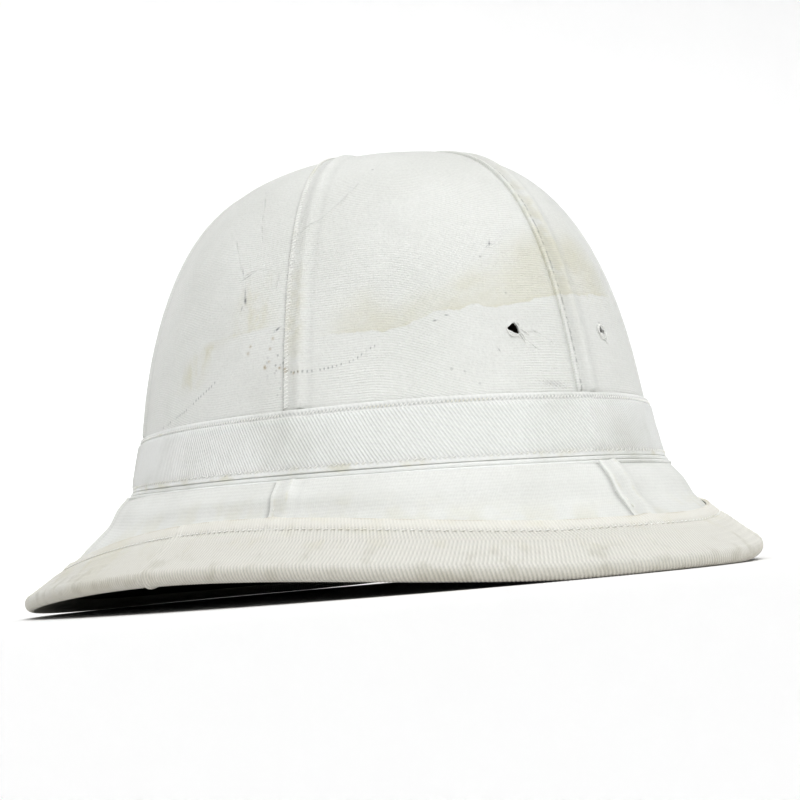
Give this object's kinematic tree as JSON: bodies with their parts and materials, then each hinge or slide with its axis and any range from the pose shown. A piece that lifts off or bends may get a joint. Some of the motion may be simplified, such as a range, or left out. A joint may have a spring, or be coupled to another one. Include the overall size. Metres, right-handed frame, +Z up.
{
  "type": "pith helmet",
  "caption": "White cloth-covered pith helmet with a panelled crown, plain hatband, downturned brim with bound edge, dark under-brim lining and leather sweatband.",
  "frame": {"origin": "on the floor under the middle of the helmet's length and width, where it stands on its own brim", "axes": "+Z up, -Y towards the front of the helmet, +X towards the wearer's left"},
  "size_m": [0.2374, 0.3202, 0.1572],
  "materials": {
    "pith": "dry pressed pith, matt and slightly rough",
    "cover_cloth": "white cotton twill, matt, with beige water stains and small dark specks",
    "hatband_cloth": "white twill with slanting ribs, matt, stitched along both edges",
    "binding_tape": "off-white ribbed tape, matt, worn grey at the edge",
    "lining_cloth": "very dark green cotton, matt with a faint sheen",
    "leather": "dark brown worn leather, half matt"
  },
  "bodies": {
    "root": {"pith_crown": "pith", "pith_brim": "pith", "crown_panel_1": "cover_cloth", "crown_panel_2": "cover_cloth", "crown_panel_3": "cover_cloth", "crown_panel_4": "cover_cloth", "crown_panel_5": "cover_cloth", "crown_panel_6": "cover_cloth", "hatband": "hatband_cloth", "hatband_fold_upper": "hatband_cloth", "hatband_fold_lower": "hatband_cloth", "brim_panel_1": "cover_cloth", "brim_panel_2": "cover_cloth", "brim_panel_3": "cover_cloth", "brim_panel_4": "cover_cloth", "brim_panel_5": "cover_cloth", "brim_panel_6": "cover_cloth", "brim_lining": "lining_cloth", "edge_binding_front": "binding_tape", "edge_binding_back": "binding_tape", "sweatband": "leather"}
  },
  "joints": []
}
